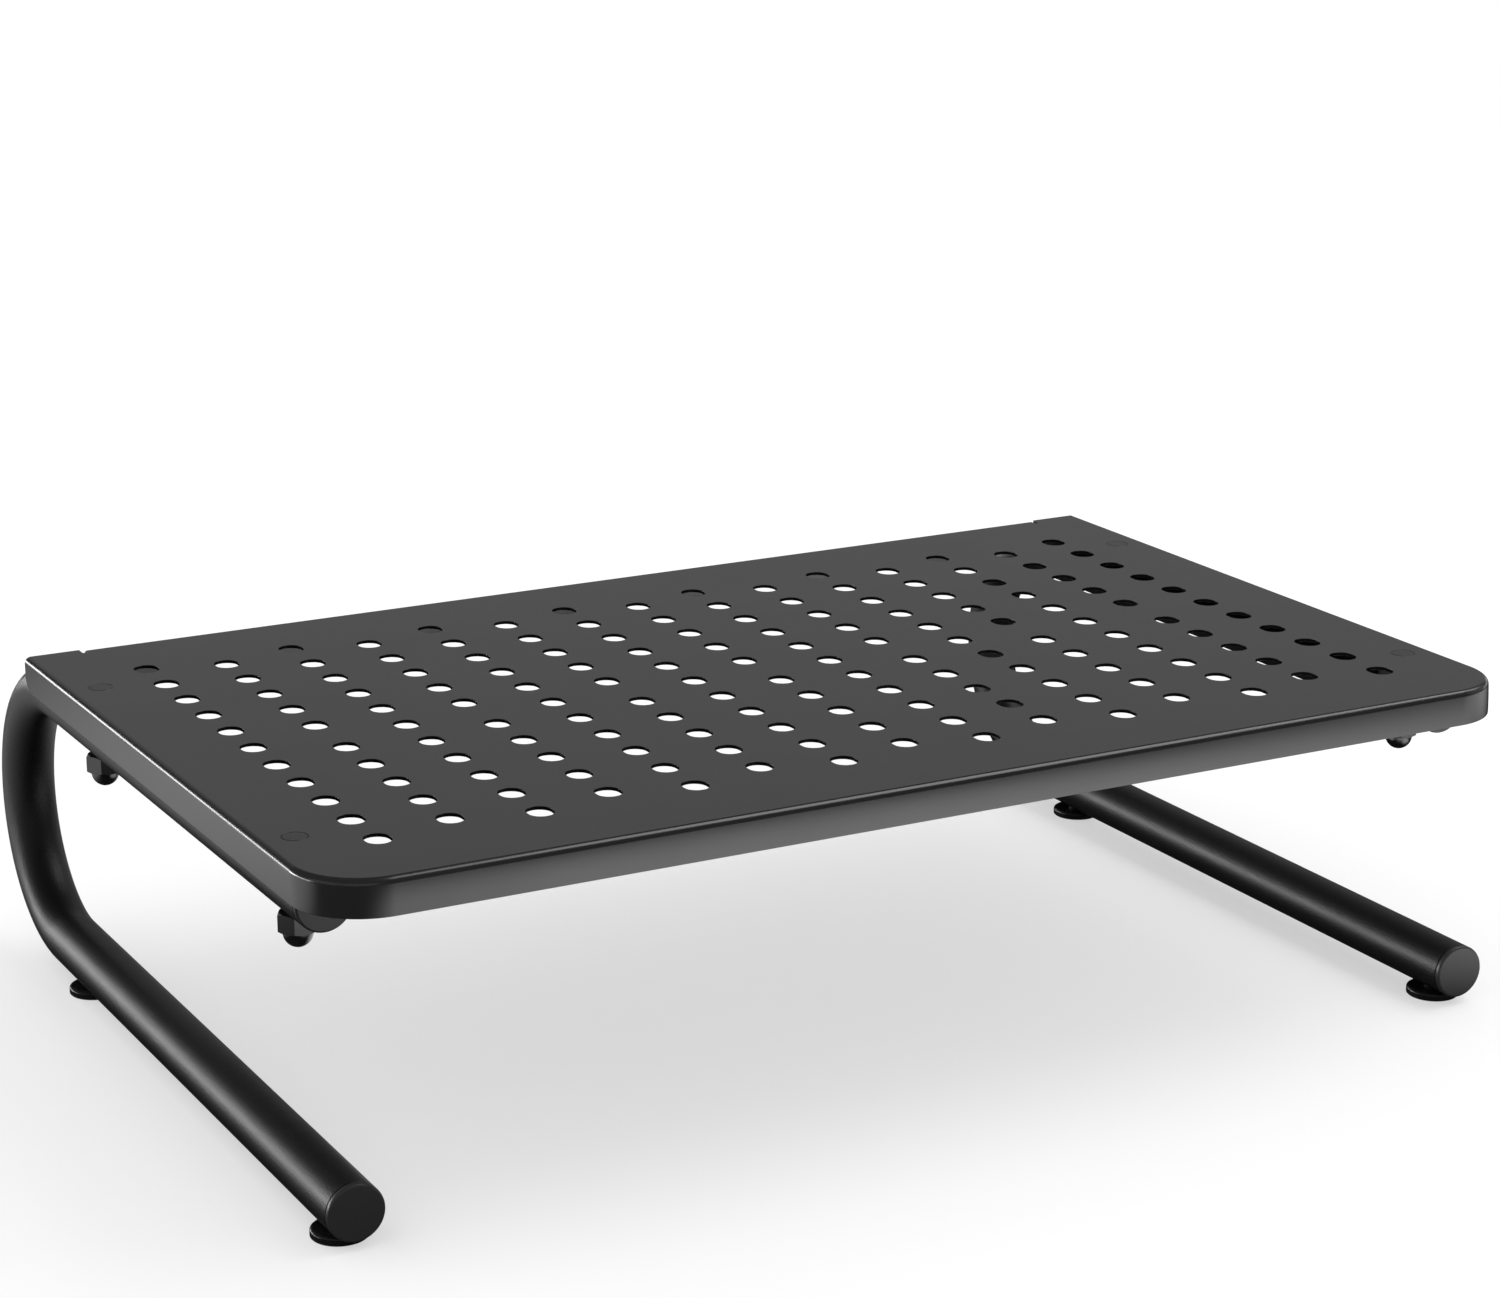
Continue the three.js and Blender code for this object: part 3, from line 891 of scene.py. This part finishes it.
def spacer_mesh(x, y):
    """A round washer with a flat top and a saddle underside that follows the tube."""
    bm = bmesh.new()
    place = Vector((x, y, 0))
    saddle = tube_radius + seat_gap
    bore_radius = stud_radius + slip_gap
    radial_steps = 8
    radii = [bore_radius + (spacer_radius - bore_radius) * i / radial_steps
             for i in range(radial_steps + 1)]

    def ring(radius, height_at):
        points = []
        for a in circle_angles(nut_steps):
            across = radius * math.cos(a)
            points.append(place + Vector((across, radius * math.sin(a), height_at(across))))
        return points

    def saddle_z(across):
        return max(spacer_low.z, upper_arm_z + math.sqrt(saddle ** 2 - across ** 2))

    def flat_z(across):
        return spacer_high.z

    rings = [ring(radius, flat_z) for radius in (bore_radius, spacer_radius)]
    rings += [ring(radius, saddle_z) for radius in radii[::-1]]
    rows = rings_to_mesh(bm, rings)
    quads_between(bm, rows[-1], rows[0])
    return bm


for side, sign in zip(SIDES, (-1, 1)):
    for end in ENDS:
        x, y = sign * leg_x, stud_y[end]
        finish_piece(f"nut_{end}_{side}", nut_mesh(x, y), nut_black,
                     f"cap_nut_{end}_{side}", sharp_angle=20)
        finish_piece(f"flush_stud_{end}_{side}", turned(stud_profile(), Vector((x, y, 0))),
                     stud_coat, f"stud_{end}_{side}")
        finish_piece(f"saddle_spacer_{end}_{side}", spacer_mesh(x, y), spacer_plastic,
                     f"spacer_{end}_{side}")


# ---- Plugs and feet -------------------------------------------------------------------------

def plug_profile():
    """Radius against distance from the plug's face."""
    bore = tube_radius - tube_wall
    spigot, fin = bore - plug_spigot_inset, bore - slip_gap
    fin_pitch = (plug_length - plug_face_to_tube) / (plug_fins + 1)
    fins = []
    for i in range(plug_fins):
        start = plug_face_to_tube + (i + 0.5) * fin_pitch
        fins += [(spigot, start), (fin, start)]
    return [
        (0, 0),
        *arc(tube_radius - plug_edge_radius, plug_edge_radius, plug_edge_radius,
             -QUARTER, 0, edge_steps),
        (tube_radius, plug_head_thickness),
        (spigot, plug_head_thickness),
        *fins,
        (spigot, plug_length - fin_pitch / 2),
        (spigot, plug_length),
        (spigot - plug_spigot_wall, plug_length),
        (spigot - plug_spigot_wall, plug_head_thickness),
        (0, plug_head_thickness),
    ]


def foot_profile():
    chamfer = 0.25 * MM
    barb_seat = foot_high.z - foot_barb_height
    return [
        (0, 0),
        (foot_radius - chamfer, 0),
        (foot_radius, chamfer),
        *arc(foot_radius - foot_edge_radius, foot_thickness - foot_edge_radius,
             foot_edge_radius, 0, QUARTER, edge_steps),
        (foot_stem_radius, foot_thickness),
        (foot_stem_radius, barb_seat),
        (foot_barb_radius, barb_seat),
        (foot_tip_radius, foot_high.z),
        (0, foot_high.z),
    ]


for side, sign in zip(SIDES, (-1, 1)):
    for arm in ARMS:
        place = Vector((sign * leg_x, plug_face_y[arm], arm_z[arm]))
        finish_piece(f"plug_{arm}_{side}", turned(plug_profile(), place, along_y=True),
                     plug_plastic, f"end_plug_{arm}_{side}")
    for end in ENDS:
        place = Vector((sign * leg_x, foot_y[end], 0))
        finish_piece(f"rubber_foot_{end}_{side}", turned(foot_profile(), place),
                     foot_rubber, f"foot_{end}_{side}")
